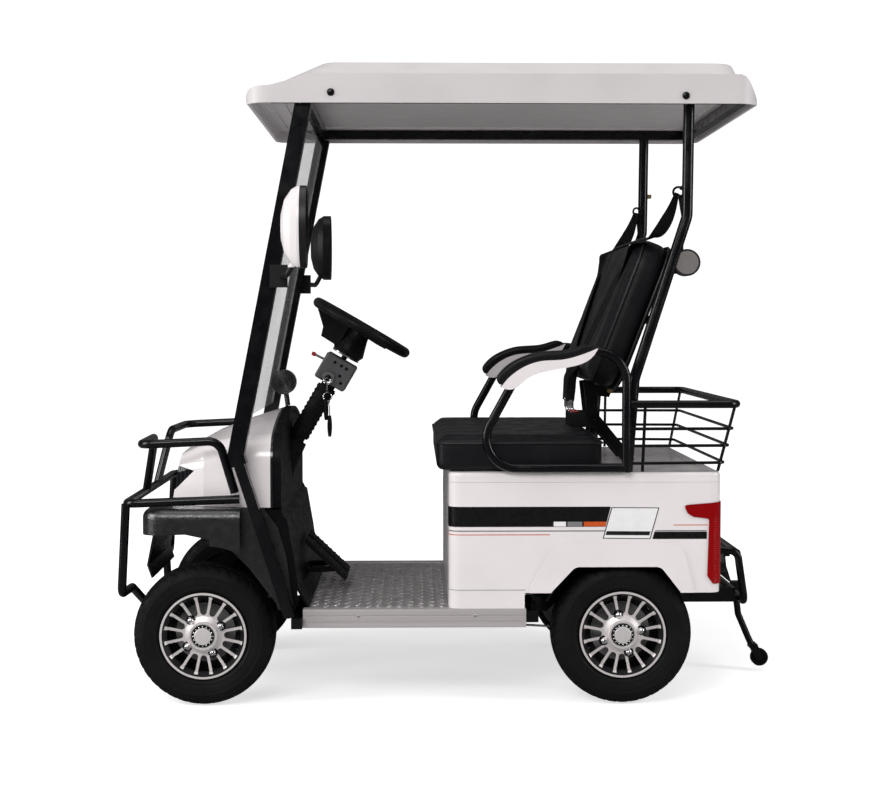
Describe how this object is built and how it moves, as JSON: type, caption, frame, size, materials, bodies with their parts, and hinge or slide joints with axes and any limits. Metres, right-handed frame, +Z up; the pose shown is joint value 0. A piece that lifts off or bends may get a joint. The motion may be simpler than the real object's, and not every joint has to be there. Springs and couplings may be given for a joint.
{
  "type": "two-seat electric golf cart",
  "caption": "Small open golf cart with a hard roof, windscreen, front guard, padded bench seat, rear wire basket, alloy wheels and working steering.",
  "frame": {"origin": "on the ground under the middle of the cart's length and width", "axes": "+X to the rear, +Y to the cart's right, +Z up"},
  "size_m": [1.7364, 1.2918, 1.636],
  "materials": {
    "frame_black": "gloss black powder coat",
    "body_white": "glossy white moulding",
    "black_plastic": "grained black moulding",
    "grey_plastic": "grained dark grey",
    "aluminium": "satin extrusion",
    "floor_metal": "patterned plate",
    "tyre": "black rubber",
    "wheel_alloy": "machined and black painted",
    "leather_black": "black leatherette",
    "webbing": "black woven webbing",
    "red_lens": "clear red lens",
    "lamp_black": "clear over black",
    "clear_glass": "clear",
    "mirror": "polished",
    "steel": "plated",
    "motor_grey": "painted casting",
    "rubber": "black rubber"
  },
  "bodies": {
    "chassis": {"anti_tip_arm": "frame_black", "armrest_frames": "frame_black", "armrest_pads": "black_plastic", "armrest_shells": "body_white", "basket": "frame_black", "battery_pack": "black_plastic", "belt_retractors": "grey_plastic", "brake_rods": "steel", "dash_horn": "black_plastic", "dash_panel": "black_plastic", "drive_motor": "motor_grey", "floor_plate": "floor_metal", "frame_cross_members": "frame_black", "frame_outriggers": "frame_black", "frame_rails": "frame_black", "front_axle": "frame_black", "front_fender": "black_plastic", "front_guard": "frame_black", "front_pillars": "frame_black", "headlamps": "lamp_black", "mirror_glasses": "mirror", "mirror_housings": "black_plastic", "nose_cowl": "body_white", "pedals": "frame_black", "rear_axle": "frame_black", "rear_body": "body_white", "rear_bumper": "frame_black", "rear_cover": "body_white", "rear_pillars": "frame_black", "roof_frame": "frame_black", "roof_shell": "body_white", "seat_back": "leather_black", "seat_back_bracket": "frame_black", "seat_belts": "webbing", "seat_cushion": "leather_black", "shock_absorbers": "frame_black", "side_sills": "aluminium", "steering_column": "black_plastic", "switch_box": "grey_plastic", "tail_lamps": "red_lens", "wheel_tubs": "black_plastic", "windshield": "clear_glass"},
    "steering_wheel": {"steering_wheel": "black_plastic"},
    "tie_rod": {"tie_rod": "steel"},
    "knuckle_left": {"knuckle_left": "steel"},
    "knuckle_right": {"knuckle_right": "steel"},
    "anti_tip_wheel": {"anti_tip_wheel": "rubber"},
    "wheel_front_left": {"tyre_front_left": "tyre", "rim_front_left": "wheel_alloy"},
    "wheel_front_right": {"tyre_front_right": "tyre", "rim_front_right": "wheel_alloy"},
    "wheel_rear_left": {"tyre_rear_left": "tyre", "rim_rear_left": "wheel_alloy"},
    "wheel_rear_right": {"tyre_rear_right": "tyre", "rim_rear_right": "wheel_alloy"}
  },
  "joints": [
    {"name": "steering_turn", "type": "hinge", "parent": "chassis", "child": "steering_wheel", "pos_m": [-0.2653, 0, 0.959], "axis": [0.504, 0, 0.8637], "range_deg": [-270, 270]},
    {"name": "knuckle_left_steer", "type": "hinge", "parent": "chassis", "child": "knuckle_left", "pos_m": [-0.6558, -0.29, 0.18], "axis": [0, 0, 1], "range_deg": [-25, 25]},
    {"name": "knuckle_right_steer", "type": "hinge", "parent": "chassis", "child": "knuckle_right", "pos_m": [-0.6558, 0.29, 0.18], "axis": [0, 0, 1], "range_deg": [-25, 25]},
    {"name": "tie_rod_shift", "type": "slide", "parent": "chassis", "child": "tie_rod", "axis": [0, 1, 0], "range_m": [-0.0275, 0.0275]},
    {"name": "wheel_front_left_spin", "type": "hinge", "parent": "knuckle_left", "child": "wheel_front_left", "pos_m": [-0.6558, -0.355, 0.18], "axis": [0, 1, 0], "continuous": true},
    {"name": "wheel_rear_left_spin", "type": "hinge", "parent": "chassis", "child": "wheel_rear_left", "pos_m": [0.4092, -0.355, 0.18], "axis": [0, 1, 0], "continuous": true},
    {"name": "wheel_front_right_spin", "type": "hinge", "parent": "knuckle_right", "child": "wheel_front_right", "pos_m": [-0.6558, 0.355, 0.18], "axis": [0, 1, 0], "continuous": true},
    {"name": "wheel_rear_right_spin", "type": "hinge", "parent": "chassis", "child": "wheel_rear_right", "pos_m": [0.4092, 0.355, 0.18], "axis": [0, 1, 0], "continuous": true},
    {"name": "anti_tip_spin", "type": "hinge", "parent": "chassis", "child": "anti_tip_wheel", "pos_m": [0.8442, 0, 0.038], "axis": [0, 1, 0], "continuous": true}
  ],
  "couplings": [
    {"joint": "knuckle_left_steer", "follows": "steering_turn", "ratio": 0.0925},
    {"joint": "knuckle_right_steer", "follows": "steering_turn", "ratio": 0.0925},
    {"joint": "tie_rod_shift", "follows": "steering_turn", "m_per_rad": -0.00582}
  ]
}
